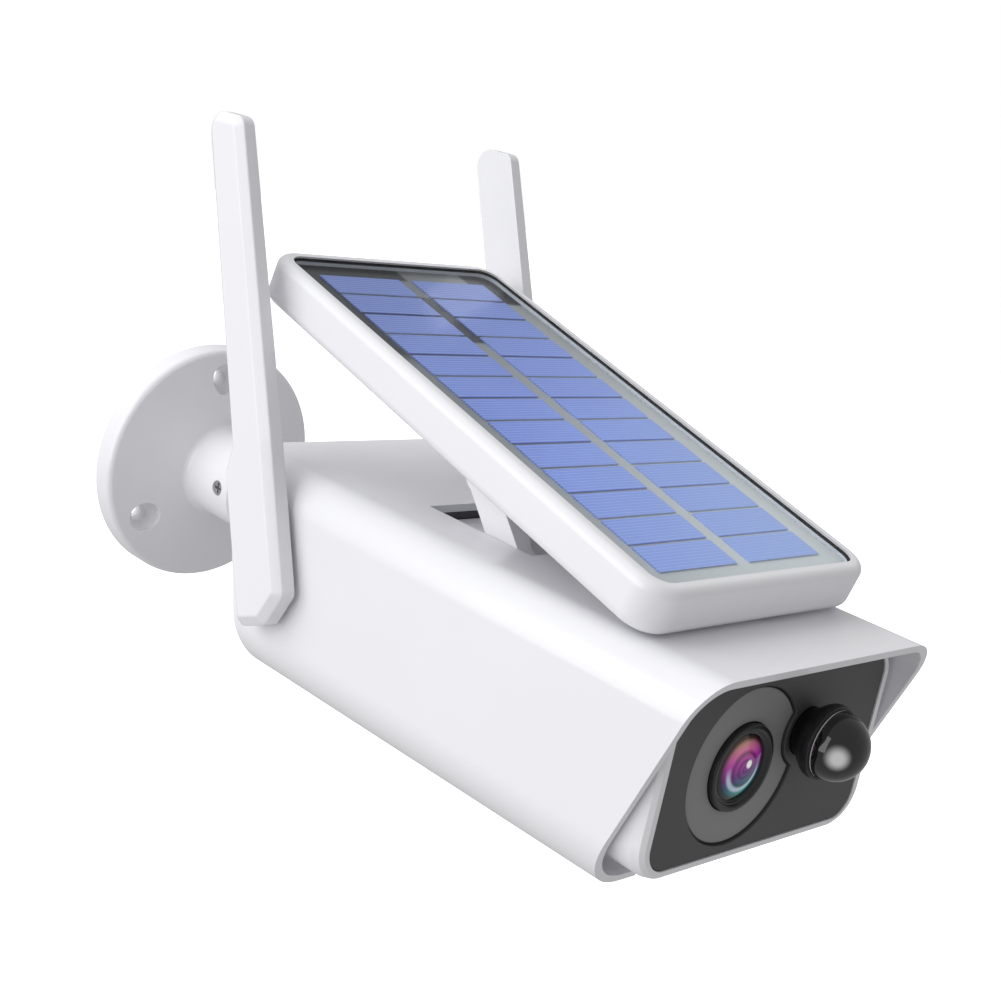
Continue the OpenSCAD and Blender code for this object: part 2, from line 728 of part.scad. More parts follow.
module panel_frame() color("white") on_panel() {
    post_r = 7.5;
    difference() {
        hull() for (x = [-1, 1], y = [-1, 1])
            translate([x * (panel_w / 2 - post_r), y * (panel_len / 2 - post_r)]) frame_post(post_r);
        translate([0, 0, -2.1]) linear_extrude(10) rounded_rect(glass_w + 0.4, glass_len + 0.4, 4.2);
        translate([0, 0, panel_floor + back_t + 0.1])
            linear_extrude(-panel_floor - back_t - 3.6) rounded_rect(panel_w - 5, panel_len - 5, 5);
        translate([0, 0, panel_floor - cut]) linear_extrude(back_t + 2 * cut)
            rounded_rect(panel_w - 11.6, panel_len - 11.6, 4.2);
    }
}

// Places of the panel back's screws, in the panel's frame
back_screw_places = [for (x = [-1, 1], y = [-1, 0, 1]) [x * 25, y * 58]];

module panel_back() color("whitesmoke") difference() {
    union() {
        on_panel() translate([0, 0, panel_floor]) linear_extrude(back_t)
            rounded_rect(panel_w - 12, panel_len - 12, 4);
        for (x = [-lug_out, lug_in])
            slab_x(x, lug_out - lug_in) translate([panel_pin_y, panel_pin_z]) rotate(panel_slope) {
                circle(knuckle_r);
                translate([-knuckle_r + 0.3, 0]) square([2 * knuckle_r - 0.6, 6.6]);
            }
    }
    rod_x([-30, panel_pin_y, panel_pin_z], hinge_pin_r + fit, 60);
    on_panel() for (p = back_screw_places)
        translate([p[0], p[1], panel_floor - cut]) cylinder(r = 1.3, h = 5);
}

module panel_back_screws() color("silver") on_panel()
    for (p = back_screw_places)
        translate([p[0], p[1], panel_floor]) rotate([180, 0, 0]) pan_screw(2.2, 0.9, 1.2, 4);

module panel_bumpers() color("black") on_panel()
    for (x = [-1, 1]) translate([x * 18, -59, panel_floor - 1.2]) cylinder(r1 = 1.6, r2 = 2, h = 1.15);

module back_sheet() color("darkgray") on_panel()
    translate([0, 0, -2]) linear_extrude(0.5) rounded_rect(glass_w - 0.2, glass_len - 0.2, 4);

module solar_cells() color([0.45, 0.55, 0.85]) on_panel() {
    pitch = cells_len / (cell_rows - cell_gap_share);
    cell_w = (cells_w - cell_gap_x) / 2;
    cell_l = pitch * (1 - cell_gap_share);
    for (row = [0:cell_rows - 1], side = [0, 1])
        translate([side == 0 ? -cells_w / 2 : cell_gap_x / 2, -cells_len / 2 + row * pitch, -1.45])
            cube([cell_w, cell_l, 0.3]);
}

module panel_glass() color([0.6, 0.7, 0.8, 0.35]) on_panel()
    translate([0, 0, -1.1]) linear_extrude(1.1) rounded_rect(glass_w, glass_len, 4);

wall_base();
clamp_screw();
ball_cup();
swivel_ball();
lock_ring();
rear_cover();
rear_cover_screws();
rear_seal();
housing();
hood();
hood_screws();
front_seal();
front_bezel();
face_plate();
lens_ring();
lens_bezel();
lens_barrel();
lens_glass();
sensor_board();
image_sensor();
pir_collar();
pir_dome();
pir_sensor();
ir_leds();
led_board();
microphone();
status_light();
speaker();
main_board();
radio_module();
battery_cells();
battery_cradle();
port_plate();
usb_socket();
card_slot();
power_button();
reset_button();
port_flap();
flap_pin();
antenna_hubs();
antenna_washers();
antenna_left();
antenna_right();
pocket_tray();
stay_block();
stay_arm();
stay_pin();
panel_pin();
panel_frame();
panel_back();
panel_back_screws();
panel_bumpers();
back_sheet();
solar_cells();
panel_glass();
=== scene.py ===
"""Looks of a solar-powered security camera on a ball-joint wall base.

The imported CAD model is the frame. Visible parts are surfaces worked out here, or copies of CAD
parts with their edges eased, and every part gets its own procedural finish. Shapes are drawn in
millimetres, and finishes, lights and the view are in metres, as the frame is. The wall is the
plane y = 0, and the camera looks along -Y.
"""
import json
import math

import bmesh
import bpy
import numpy as np
from mathutils import Matrix, Vector


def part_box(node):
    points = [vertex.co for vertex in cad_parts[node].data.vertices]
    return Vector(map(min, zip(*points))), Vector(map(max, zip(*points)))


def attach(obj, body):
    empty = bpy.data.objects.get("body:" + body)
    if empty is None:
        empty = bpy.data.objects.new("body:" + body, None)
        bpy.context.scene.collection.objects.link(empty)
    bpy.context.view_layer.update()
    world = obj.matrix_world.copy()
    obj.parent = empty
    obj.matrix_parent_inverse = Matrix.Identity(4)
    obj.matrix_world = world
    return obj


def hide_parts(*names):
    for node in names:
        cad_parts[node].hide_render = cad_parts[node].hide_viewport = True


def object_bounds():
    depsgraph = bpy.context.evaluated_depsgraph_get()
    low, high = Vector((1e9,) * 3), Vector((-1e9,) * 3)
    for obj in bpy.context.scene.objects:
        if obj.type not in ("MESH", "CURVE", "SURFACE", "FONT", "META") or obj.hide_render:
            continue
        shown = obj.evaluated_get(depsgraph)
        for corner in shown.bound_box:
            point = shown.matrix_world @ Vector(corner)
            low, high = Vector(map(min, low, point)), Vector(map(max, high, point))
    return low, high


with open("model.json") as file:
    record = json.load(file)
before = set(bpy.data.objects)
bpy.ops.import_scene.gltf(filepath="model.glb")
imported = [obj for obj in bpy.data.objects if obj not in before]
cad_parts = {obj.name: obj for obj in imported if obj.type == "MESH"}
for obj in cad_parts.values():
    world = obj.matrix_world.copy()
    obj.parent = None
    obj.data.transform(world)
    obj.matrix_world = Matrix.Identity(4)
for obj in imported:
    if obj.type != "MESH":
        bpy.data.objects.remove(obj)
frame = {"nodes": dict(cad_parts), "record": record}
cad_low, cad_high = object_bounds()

MM = 0.001
BODY_OF = {node: body for body, nodes in frame["record"]["behaviour"]["bodies"].items() for node in nodes}


# ---- places that several parts share, in millimetres ----

FACE_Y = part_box("face_plate")[0][1] / MM          # front of the dark plate


def middle_of(node):
    """The middle of a CAD part's box at rest."""
    low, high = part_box(node)
    return (Vector(low) + Vector(high)) / 2 / MM


def on_face(node):
    """Where the axis of a round part meets the front of the dark plate."""
    middle = middle_of(node)
    return Vector((middle.x, FACE_Y, middle.z))


LENS_CENTRE = on_face("lens_glass")
LENS_RADIUS = 7.1
DOME_FOOT = on_face("pir_dome")
DOME_RADIUS = 7.4
DOME_OUT = 7.1              # from the plate to the middle of the dome's ball

# Local axes, as rows, of shapes that are drawn flat and then stand in the object
LYING = np.eye(3)
FACING_FRONT = np.array([[1.0, 0, 0], [0, 0, 1], [0, -1, 0]])      # across, up, out of the front

PANEL_SLOPE = math.radians(15.1)
PANEL_AXES = np.array([                                            # across, up the slope, out of the glass
    [1.0, 0, 0],
    [0, math.cos(PANEL_SLOPE), math.sin(PANEL_SLOPE)],
    [0, -math.sin(PANEL_SLOPE), math.cos(PANEL_SLOPE)]])
PANEL_WIDTH, PANEL_LENGTH, PANEL_CORNER = 72.6, 137.7, 7.5
PANEL_LIP = 3.3             # width of the frame's lip round the glass
GLASS_THICK = 1.1
GLASS_TOP = middle_of("panel_glass") + GLASS_THICK / 2 * Vector(PANEL_AXES[2])


# ---- shapes worked out as whole arrays ----

def arc(centre, radius, start, end, steps):
    """Points (n, 2) of an arc: the centre plus radius times (cos, sin) of even angles in degrees."""
    angle = np.radians(np.linspace(start, end, steps + 1))
    return np.array(centre) + radius * np.stack([np.cos(angle), np.sin(angle)], -1)


def rounded_outline(corners, radii, steps=8):
    """A polygon with rounded corners, given anticlockwise, as points and outward normals, both (n, 2).

    At each corner the arc's centre lies on the bisector, radius / sin(half angle) from the corner,
    and its normals swing from one edge's normal to the next edge's. A normal points out of the
    outline, so point - inset * normal is the outline drawn smaller by inset.
    """
    corner = np.array(corners, float)
    radius = np.array(radii, float)[:, None]
    along = np.roll(corner, -1, 0) - corner
    along /= np.linalg.norm(along, axis=1, keepdims=True)
    outward = np.stack([along[:, 1], -along[:, 0]], -1)
    before = np.roll(outward, 1, 0)
    turn = np.arctan2(before[:, 0] * outward[:, 1] - before[:, 1] * outward[:, 0], (before * outward).sum(1))
    bisector = before + outward
    bisector /= (bisector * outward).sum(1, keepdims=True)
    convex = np.sign(turn)[:, None]
    centre = corner - convex * radius * bisector
    swing = np.arctan2(before[:, 1], before[:, 0])[:, None] + turn[:, None] * np.linspace(0, 1, steps + 1)
    normals = np.stack([np.cos(swing), np.sin(swing)], -1)
    points = centre[:, None] + (convex * radius)[:, :, None] * normals
    return points.reshape(-1, 2), normals.reshape(-1, 2)


def rounded_box_outline(width, height, radius, steps=8):
    """A rounded rectangle about the origin, as points and outward normals."""
    x, y = width / 2, height / 2
    return rounded_outline([(-x, -y), (x, -y), (x, y), (-x, y)], [radius] * 4, steps)


def lofted(outline, levels):
    """A grid (levels, n, 3): for each level (inset, height), the outline smaller by inset, at that height."""
    points, normals = outline
    inset, height = np.array(levels, float).T
    flat = points[None] - inset[:, None, None] * normals[None]
    return np.concatenate([flat, np.broadcast_to(height[:, None, None], flat.shape[:2] + (1,))], -1)


def turned(profile, steps=96):
    """A grid (profile, steps, 3): each profile point (radius, height) carried once round the third axis."""
    radius, height = np.array(profile, float).T
    angle = np.linspace(0, 2 * math.pi, steps, endpoint=False)
    ring = np.stack([np.cos(angle), np.sin(angle), np.zeros(steps)], -1)
    return radius[:, None, None] * ring + height[:, None, None] * np.array([0, 0, 1.0])


def grid_faces(rows, columns, wrap_rows):
    """Quads of a grid that wraps round its columns: each joins a point to those one row and column on."""
    index = np.arange(rows * columns).reshape(rows, columns)
    right, down = np.roll(index, -1, 1), np.roll(index, -1, 0)
    quads = np.stack([index, right, np.roll(right, -1, 0), down], -1)
    return quads[: rows if wrap_rows else -1].reshape(-1, 4)


def piece(name, body, slot, finish, grid, axes, origin, wrap_rows=False, caps=True):
    """A mesh piece made of one grid in millimetres, placed by axes and origin, riding on body.

    The grid is (rows, columns, 3) and wraps round its columns. Where its rows don't wrap, caps close
    its first and last row, and rows that shrink to a point need none. Coinciding points are merged.
    """
    rows, columns = grid.shape[:2]
    faces = grid_faces(rows, columns, wrap_rows).tolist()
    if caps and not wrap_rows:
        faces.append(list(range(columns - 1, -1, -1)))
        faces.append(list(range((rows - 1) * columns, rows * columns)))
    points = (grid.reshape(-1, 3) @ axes + np.array(origin)) * MM
    mesh = bpy.data.meshes.new(name)
    mesh.from_pydata(points.tolist(), [], faces)
    return dressed(name, mesh, body, slot, finish)


def stand_in(node, name, grid, axes, origin, **how):
    """A piece made of a grid that takes the place of a CAD part, on its body and with its finish."""
    made = piece(name, BODY_OF[node], *finished_by(node), grid, axes, origin, **how)
    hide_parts(node)
    return made


def dressed(name, mesh, body, slot, finish):
    """A mesh as a piece on body: doubles merged, faces outwards, and shaded smooth but for sharp edges."""
    crease = math.radians(40)
    work = bmesh.new()
    work.from_mesh(mesh)
    bmesh.ops.remove_doubles(work, verts=work.verts, dist=1e-7)
    bmesh.ops.dissolve_degenerate(work, edges=work.edges, dist=1e-7)
    bmesh.ops.recalc_face_normals(work, faces=work.faces)
    for face in work.faces:
        face.smooth = True
    for edge in work.edges:
        edge.smooth = edge.calc_face_angle(0) < crease
    work.to_mesh(mesh)
    work.free()
    made = bpy.data.objects.new(name, mesh)
    bpy.context.scene.collection.objects.link(made)
    mesh.materials.clear()
    mesh.materials.append(finish)
    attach(made, body)
    return made


def modify(made, kind, **settings):
    """Adds a modifier with its settings."""
    modifier = made.modifiers.new(kind.title(), kind)
    for name, value in settings.items():
        setattr(modifier, name, value)


def weighted(made):
    """Lets the large flat faces set the shading, so that flats look flat right up to their rounded edges."""
    modify(made, "WEIGHTED_NORMAL", keep_sharp=True)


def eased(node, name, width):
    """A copy of a CAD part with its flat faces joined and its sharp edges rounded by width millimetres."""
    flat, sharp = math.radians(0.4), math.radians(32)
    mesh = frame["nodes"][node].data.copy()
    work = bmesh.new()
    work.from_mesh(mesh)
    bmesh.ops.remove_doubles(work, verts=work.verts, dist=1e-6)
    bmesh.ops.dissolve_limit(work, angle_limit=flat, verts=work.verts, edges=work.edges)
    work.to_mesh(mesh)
    work.free()
    made = dressed(name, mesh, BODY_OF[node], *finished_by(node))
    modify(made, "BEVEL", width=width * MM, segments=3, limit_method="ANGLE", angle_limit=sharp,
           use_clamp_overlap=True, miter_outer="MITER_ARC")
    weighted(made)
    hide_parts(node)


# ---- finishes ----

class Amount:
    """A number that varies over a surface. Python's arithmetic on it adds Math nodes."""

    def __init__(self, finish, socket):
        self.finish = finish
        self.socket = socket

    def math(self, operation, *others):
        node = self.finish.node("ShaderNodeMath", {"operation": operation}, [self, *others])
        return Amount(self.finish, node.outputs[0])

    def __add__(self, other):
        return self.math("ADD", other)

    def __sub__(self, other):
        return self.math("SUBTRACT", other)

    def __rsub__(self, other):
        return self.math("MULTIPLY_ADD", -1, other)

    def __mul__(self, other):
        return self.math("MULTIPLY", other)

    def __truediv__(self, other):
        return self.math("DIVIDE", other)

    def __pow__(self, other):
        return self.math("POWER", other)

    __radd__ = __add__
    __rmul__ = __mul__

    def between(self, low, high):
        """0 below low and 1 above high, with a smooth step between; the other way round if low > high."""
        node = self.finish.node(
            "ShaderNodeMapRange", {"interpolation_type": "SMOOTHSTEP"}, [self, low, high, 0, 1])
        return Amount(self.finish, node.outputs[0])


class Nodes:
    """A node tree being filled."""

    def __init__(self, tree):
        self.tree = tree

    def node(self, kind, settings=None, inputs=()):
        """Adds a node: its settings first, then the values or links of its sockets, by place or by name."""
        node = self.tree.nodes.new(kind)
        for name, value in (settings or {}).items():
            if name == "stops":
                while len(node.color_ramp.elements) < len(value):
                    node.color_ramp.elements.new(0.5)
                for element, (position, colour) in zip(node.color_ramp.elements, value):
                    element.position = position
                    element.color = colour
            else:
                setattr(node, name, value)
        pairs = inputs.items() if isinstance(inputs, dict) else enumerate(inputs)
        for socket, value in pairs:
            value = getattr(value, "socket", value)
            if isinstance(value, bpy.types.NodeSocket):
                self.tree.links.new(value, node.inputs[socket])
            else:
                node.inputs[socket].default_value = value
        return node


class Finish(Nodes):
    """A material being made: constants on its shader's own sockets, and amounts linked to what varies."""

    def __init__(self, name, **constants):
        self.material = bpy.data.materials.new(name)
        self.material.use_nodes = True
        super().__init__(self.material.node_tree)
        self.shader = self.tree.nodes["Principled BSDF"]
        for socket, value in constants.items():
            self.shader.inputs[socket.replace("_", " ")].default_value = value

    def set(self, socket, value):
        """Links a varying value to one of the shader's sockets."""
        self.tree.links.new(getattr(value, "socket", value), self.shader.inputs[socket])

    def place(self, turn=(0, 0, 0), at=(0, 0, 0), scale=(1, 1, 1)):
        """The object's own coordinates, moved so that `at` is the centre, then turned and scaled."""
        where = self.node("ShaderNodeTexCoord").outputs["Object"]
        moved = self.node("ShaderNodeVectorMath", {"operation": "SUBTRACT"}, [where, tuple(at)]).outputs[0]
        return self.node("ShaderNodeMapping", {"vector_type": "POINT"},
                         {"Vector": moved, "Rotation": turn, "Scale": scale}).outputs[0]

    def axis(self, place, index):
        """One coordinate of a place."""
        return Amount(self, self.node("ShaderNodeSeparateXYZ", None, [place]).outputs[index])

    def noise(self, size, detail=2, place=None):
        """Noise with features about `size` metres across, from 0 to 1."""
        inputs = {"Scale": 1 / size, "Detail": detail, "Vector": place or self.place()}
        return Amount(self, self.node("ShaderNodeTexNoise", None, inputs).outputs[0])

    def mix(self, first, second, share):
        """One colour at share 0 and the other at share 1."""
        return self.node("ShaderNodeMix", {"data_type": "RGBA"}, {0: share, 6: first, 7: second}).outputs[2]

    def ramp(self, amount, stops):
        """A colour ramp over an amount."""
        return self.node("ShaderNodeValToRGB", {"stops": stops}, [amount]).outputs[0]

    def bump(self, height, distance):
        """Relief of `distance` metres where the height goes from 0 to 1."""
        bump = self.node("ShaderNodeBump", None, {"Height": height, "Distance": distance, "Strength": 1.0})
        self.set("Normal", bump.outputs[0])


def colour(red, green, blue):
    """A display colour from 0 to 1 as the linear colour that the shaders use."""
    shown = np.array([red, green, blue], float)
    linear = np.where(shown <= 0.04045, shown / 12.92, ((shown + 0.055) / 1.055) ** 2.4)
    return (*linear.tolist(), 1.0)


def darker(base, share):
    """A linear colour with its red, green and blue times share."""
    return tuple(channel * share for channel in base[:3]) + (1.0,)


def moulded(name, base, roughness, grain, relief):
    """Moulded plastic: a slightly uneven gloss over a fine skin of grain, with a trace of colour drift."""
    finish = Finish(name)
    mottle = 0.04
    finish.set("Base Color", finish.mix(darker(base, 0.96), base, finish.noise(0.03, 3)))
    finish.set("Roughness", roughness - mottle / 2 + mottle * finish.noise(0.008, 4))
    finish.bump(finish.noise(grain, 2), relief)
    return finish.material


def metal(name, base, roughness):
    """Plated metal with fine brushing and a few duller patches."""
    finish = Finish(name, Metallic=1.0)
    brushing = finish.noise(0.0004, 3, finish.place(scale=(1, 0.1, 1)))
    finish.set("Base Color", finish.mix(darker(base, 0.8), base, finish.noise(0.004, 3)))
    finish.set("Roughness", roughness + 0.1 * (brushing - 0.5))
    finish.bump(brushing, 0.00002)
    return finish.material


def circuit_board():
    """Green solder mask over copper tracks, with tinned pads."""
    finish = Finish("board", Roughness=0.35)
    tracks = finish.noise(0.0012, 0, finish.place(scale=(1, 1, 3))).between(0.48, 0.52)
    cells = finish.node("ShaderNodeTexVoronoi", None, {"Vector": finish.place(), "Scale": 420})
    pads = Amount(finish, cells.outputs["Distance"]).between(0.16, 0.12)
    mask = finish.mix(colour(0.02, 0.26, 0.13), colour(0.05, 0.36, 0.17), tracks)
    finish.set("Base Color", finish.mix(mask, colour(0.78, 0.78, 0.74), pads))
    finish.set("Metallic", pads)
    finish.bump(tracks, 0.00003)
    return finish.material


def on_panel(finish):
    """The place on the panel: x across, y up the slope, z out of the glass, from the glass's middle."""
    return finish.place(turn=(-PANEL_SLOPE, 0, 0), at=GLASS_TOP * MM)


def solar_silicon():
    """Blue wafers with fine printed lines across them and a slow drift from cell to cell, with painted
    reflections: paler towards the front right and darker towards the rear left.
    """
    finish = Finish("silicon", Roughness=0.28, Specular_IOR_Level=0.6)
    place = on_panel(finish)
    across, up = finish.axis(place, 0), finish.axis(place, 1)
    length, rows, gap, lines_per_row = 119.7 * MM, 13, 0.1, 9.5       # the gap is a share of the pitch
    row = (up + length / 2) / (length / (rows - gap))
    line = ((row * lines_per_row).math("FRACT") - 0.5).math("ABSOLUTE").between(0.36, 0.47)
    blue = finish.mix(colour(0.47, 0.56, 0.92), colour(0.56, 0.66, 1.0), finish.noise(0.03, 2, place))
    # painted reflections: darker towards the rear left, paler towards the front right
    rear = (up - across * 0.6).between(-0.02, 0.075)
    front = (across - up).between(-0.03, 0.09)
    blue = finish.mix(blue, colour(0.7, 0.79, 1.0), front * 0.85)
    blue = finish.mix(blue, colour(0.3, 0.38, 0.62), rear * 0.55)
    finish.set("Base Color", finish.mix(blue, colour(0.85, 0.9, 1.0), line * 0.5))
    finish.bump(line, 0.00002)
    return finish.material


def backing_sheet():
    """The sheet under the cells, which shows as the grey border and the gaps between them.

    It is painted darker towards the rear left and paler towards the front right, and five patches near the
    rear are painted almost black; all of this is painted reflection. Each is the product of soft steps
    (coordinate, where it is 0, where it is 1), times the patch's strength.
    """
    finish = Finish("back_sheet", Roughness=0.35)
    place = on_panel(finish)
    x, y = finish.axis(place, 0) / MM, finish.axis(place, 1) / MM
    # painted reflection: darker towards the rear left, paler towards the front right
    painted_reflection_colour = finish.ramp((x * 1.2 - y).between(-100, 90), [
        (0.0, colour(0.42, 0.42, 0.42)), (0.25, colour(0.55, 0.55, 0.54)),
        (0.6, colour(0.72, 0.72, 0.71)), (1.0, colour(0.92, 0.92, 0.9))])
    # painted reflections: patches painted nearly black
    patches = [
        (1.0, [(x, -26, -27.5), (y, 19, 25)]),                                  # left border
        (1.0, [(x, 2, 0.5), (y, 59.5, 60.5)]),                                  # rear border
        (1.0, [(x, 21.5, 23), (y, 49.5, 51)]),                                  # rear right corner
        (1.0, [(x, -4, -3.5), (x, 4, 3.5), (y, 29, 30.5), (y, 52.5, 51)]),      # gap between the columns
        (0.8, [(x, -6, -8), (y, 36, 38)])]                                      # gaps between the rear rows
    # mask of the painted dark reflections
    dark = sum(math.prod([along.between(*step) for along, *step in steps], start=strength)
               for strength, steps in patches)
    finish.set("Base Color", finish.mix(painted_reflection_colour, colour(0.06, 0.06, 0.06), dark.math("MINIMUM", 1.0)))
    finish.bump(finish.noise(0.0006, 2), 0.00002)
    return finish.material


def clear_glass(name):
    """Thin clear cover glass: it lets light through and mirrors more towards grazing, with faint smears."""
    finish = Finish(name)
    clear = finish.node("ShaderNodeBsdfTransparent", None, {"Color": (0.96, 0.98, 1.0, 1.0)})
    gloss = finish.node("ShaderNodeBsdfGlossy", None, {"Roughness": 0.04})
    facing = Amount(finish, finish.node("ShaderNodeLayerWeight", None, {"Blend": 0.5}).outputs["Facing"])
    smears = finish.noise(0.02, 4).between(0.35, 0.8)
    mirror = (0.02 + 0.4 * facing ** 5) * (0.85 + 0.15 * smears)
    blend = finish.node("ShaderNodeMixShader", None, [mirror, clear.outputs[0], gloss.outputs[0]])
    output = finish.tree.nodes["Material Output"]
    finish.tree.links.new(blend.outputs[0], output.inputs["Surface"])
    return finish.material


def coated_lens():
    """The front element, painted with its reflections and made to shine by emission: purple coating above,
    teal below, bright circles of the elements behind it, a pale band low down and a white highlight dot.
    """
    finish = Finish("lens_coated", Roughness=0.06, Specular_IOR_Level=0.6, Emission_Strength=0.22)
    place = finish.place(at=LENS_CENTRE * MM)
    x, z = (finish.axis(place, index) / (LENS_RADIUS * MM) for index in (0, 2))
    radius = (x * x + z * z) ** 0.5
    # painted reflection: the coating's colours, purple above and teal below
    painted_glow = finish.ramp((z - 0.25 * x) * 0.5 + 0.5, [
        (0.1, colour(0.1, 0.62, 0.6)), (0.3, colour(0.16, 0.4, 0.55)), (0.45, colour(0.5, 0.14, 0.58)),
        (0.65, colour(0.78, 0.24, 0.72)), (0.82, colour(0.9, 0.5, 0.66)), (0.95, colour(0.95, 0.72, 0.6))])
    # painted reflections: bright and dim circles of the elements behind the glass
    brightness = [(0.0, 1.0), (0.1, 0.3), (0.17, 0.9), (0.26, 0.28), (0.36, 0.75), (0.5, 0.3), (0.62, 0.85),
                  (0.78, 0.6), (0.9, 0.06), (1.0, 0.01)]
    painted_ring_reflections = finish.ramp(radius, [(at, (grey, grey, grey, 1)) for at, grey in brightness])
    multiply = {"data_type": "RGBA", "blend_type": "MULTIPLY"}
    painted_reflection_colour = finish.node("ShaderNodeMix", multiply, {0: 1.0, 6: painted_glow, 7: painted_ring_reflections}).outputs[2]
    # painted reflection: a pale band low on the lens
    low = (0.2 - z).between(0.0, 0.5)
    pale = radius.between(0.52, 0.62) * radius.between(0.76, 0.66) * low
    painted_reflection_colour = finish.mix(painted_reflection_colour, colour(0.8, 0.86, 0.92), pale * 0.7)
    # painted highlight: a white dot up and to the right of the middle
    painted_highlight_spot = (((x - 0.14) ** 2 + (z - 0.14) ** 2) ** 0.5).between(0.16, 0.08)
    painted_reflection_colour = finish.mix(painted_reflection_colour, (1, 1, 1, 1), painted_highlight_spot)
    finish.set("Base Color", painted_reflection_colour)
    # the lens shines by emission of this colour, though it is no lamp
    finish.set("Emission Color", painted_reflection_colour)
    return finish.material


def dark_dome():
    """Glossy black, with a painted highlight line just in front of the collar's lip and a soft painted
    highlight patch at its front left, which is also made to shine by emission.
    """
    finish = Finish("black_gloss", Roughness=0.05, Specular_IOR_Level=0.7, Emission_Strength=0.5)
    # painted highlight: a soft pale patch at the front left, given emission so that it shines like a
    # reflection
    patch_middle, patch_radius = DOME_FOOT + Vector((-5.6, -11.9, 0)), 3.2
    patch = finish.place(at=patch_middle * MM)
    x, y, z = (finish.axis(patch, index) / (patch_radius * MM) for index in range(3))
    painted_glow = ((x * x + y * y + z * z) ** 0.5).between(1.0, 0.25)
    # painted highlight: a thin pale line on the dome just in front of the collar's lip
    out = FACE_Y - finish.axis(finish.place(), 1) / MM
    painted_rim_highlight = out.between(6.62, 6.72) * out.between(7.0, 6.86)
    black, pale = colour(0.035, 0.035, 0.038), colour(0.75, 0.75, 0.75)
    finish.set("Base Color", finish.mix(black, pale, painted_rim_highlight + painted_glow * 0.2))
    finish.set("Emission Color", finish.mix((0, 0, 0, 1), (0.75, 0.75, 0.75, 1), painted_glow))
    finish.bump(finish.noise(0.004, 2), 0.000002)
    return finish.material


WHITE = colour(0.93, 0.93, 0.945)
FINISHES = {
    "white_gloss": moulded("white_gloss", WHITE, 0.2, 0.0012, 0.000004),
    "white_satin": moulded("white_satin", colour(0.91, 0.91, 0.93), 0.34, 0.0005, 0.00001),
    "dark_plastic": moulded("dark_plastic", colour(0.29, 0.29, 0.29), 0.5, 0.0004, 0.00002),
    "grey_ring": moulded("grey_ring", colour(0.54, 0.54, 0.54), 0.5, 0.0004, 0.000015),
    "black_gloss": dark_dome(),
    "black_satin": moulded("black_satin", colour(0.12, 0.12, 0.12), 0.33, 0.0005, 0.00001),
    "lens_coated": coated_lens(),
    "panel_glass": clear_glass("panel_glass"),
    "silicon": solar_silicon(),
    "back_sheet": backing_sheet(),
    "steel": metal("steel", colour(0.8, 0.8, 0.82), 0.24),
    "rubber": moulded("rubber", colour(0.1, 0.1, 0.1), 0.75, 0.0003, 0.00003),
    "nylon": moulded("nylon", colour(0.3, 0.3, 0.32), 0.5, 0.0006, 0.00001),
    "board": circuit_board(),
    "cell_wrap": moulded("cell_wrap", colour(0.2, 0.35, 0.75), 0.3, 0.003, 0.00002),
    "tray": moulded("tray", colour(0.27, 0.27, 0.28), 0.45, 0.0006, 0.00001),
    "button": moulded("button", colour(0.85, 0.4, 0.16), 0.4, 0.0005, 0.00001),
    "led": moulded("led", colour(0.78, 0.82, 0.9), 0.12, 0.002, 0.00001),
    "brass": metal("brass", colour(0.82, 0.68, 0.36), 0.3),
}

# Parts that are duller than the rest of their slot
DULLER = {"pir_collar": moulded("collar_black", colour(0.06, 0.06, 0.06), 0.42, 0.0005, 0.00001)}

# Which finish each CAD part has
SLOT_NODES = {
    "white_gloss": ["wall_base", "hood", "front_bezel", "antenna_left", "antenna_right", "panel_frame",
                    "stay_arm", "stay_block", "lock_ring"],
    "white_satin": ["rear_cover", "housing", "antenna_hubs", "panel_back", "port_flap"],
    "dark_plastic": ["face_plate"],
    "grey_ring": ["lens_ring"],
    "black_gloss": ["pir_collar", "pir_dome"],
    "black_satin": ["lens_bezel", "lens_barrel", "speaker", "battery_cradle", "card_slot"],
    "lens_coated": ["lens_glass"],
    "panel_glass": ["panel_glass"],
    "silicon": ["solar_cells", "image_sensor"],
    "back_sheet": ["back_sheet"],
    "steel": ["clamp_screw", "swivel_ball", "rear_cover_screws", "hood_screws", "panel_back_screws",
              "flap_pin", "stay_pin", "panel_pin", "usb_socket", "radio_module", "pir_sensor"],
    "rubber": ["rear_seal", "front_seal", "antenna_washers", "panel_bumpers"],
    "nylon": ["ball_cup"],
    "board": ["sensor_board", "led_board", "main_board"],
    "cell_wrap": ["battery_cells"],
    "tray": ["pocket_tray", "port_plate"],
    "button": ["power_button", "reset_button"],
    "led": ["ir_leds", "status_light"],
    "brass": ["microphone"],
}
SLOT_OF = {node: slot for slot, nodes in SLOT_NODES.items() for node in nodes}


def finished_by(node):
    """The slot's name and the material of a CAD part."""
    return SLOT_OF[node], DULLER.get(node, FINISHES[SLOT_OF[node]])


for node, made in frame["nodes"].items():
    made.data.materials.clear()
    made.data.materials.append(finished_by(node)[1])


# ---- antennas ----

